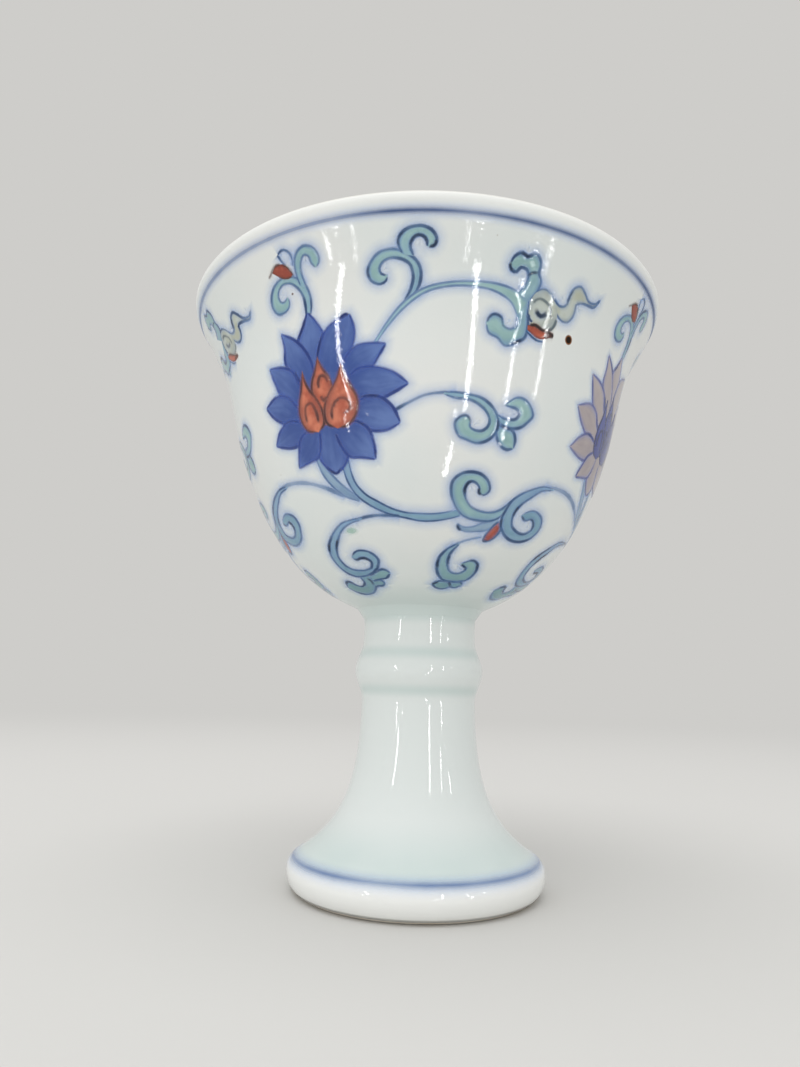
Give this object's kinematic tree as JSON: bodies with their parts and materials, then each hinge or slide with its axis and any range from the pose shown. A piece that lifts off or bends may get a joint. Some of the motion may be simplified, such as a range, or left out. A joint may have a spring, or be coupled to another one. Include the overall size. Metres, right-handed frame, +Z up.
{
  "type": "stem cup",
  "caption": "Porcelain stem cup: a deep bowl with an everted lip on a hollow ringed stem with a flared foot, glazed and painted with a lotus scroll.",
  "frame": {"origin": "centre of the foot, on the table that the cup stands on", "axes": "+Z up along the cup's axis of revolution; -Y is the side that faces the picture's camera"},
  "size_m": [0.065, 0.065, 0.076],
  "materials": {
    "clay": "bare fired porcelain, matte",
    "slip": "fired slip, hidden in the join",
    "glaze": "clear glossy glaze with a faint blue-green tint",
    "lining": "clear glossy glaze",
    "cobalt": "underglaze cobalt blue under glossy glaze",
    "green_enamel": "thin blue-green enamel, glossy",
    "red_enamel": "iron-red enamel, satin",
    "yellow_enamel": "pale yellow enamel, glossy",
    "violet_enamel": "thin greyish-violet enamel, glossy"
  },
  "bodies": {
    "root": {"bowl_body": "clay", "stem_body": "clay", "luting_slip": "slip", "outer_glaze": "glaze", "bowl_lining_glaze": "lining", "stem_lining_glaze": "lining", "rim_line": "cobalt", "foot_line": "cobalt"}
  },
  "joints": []
}
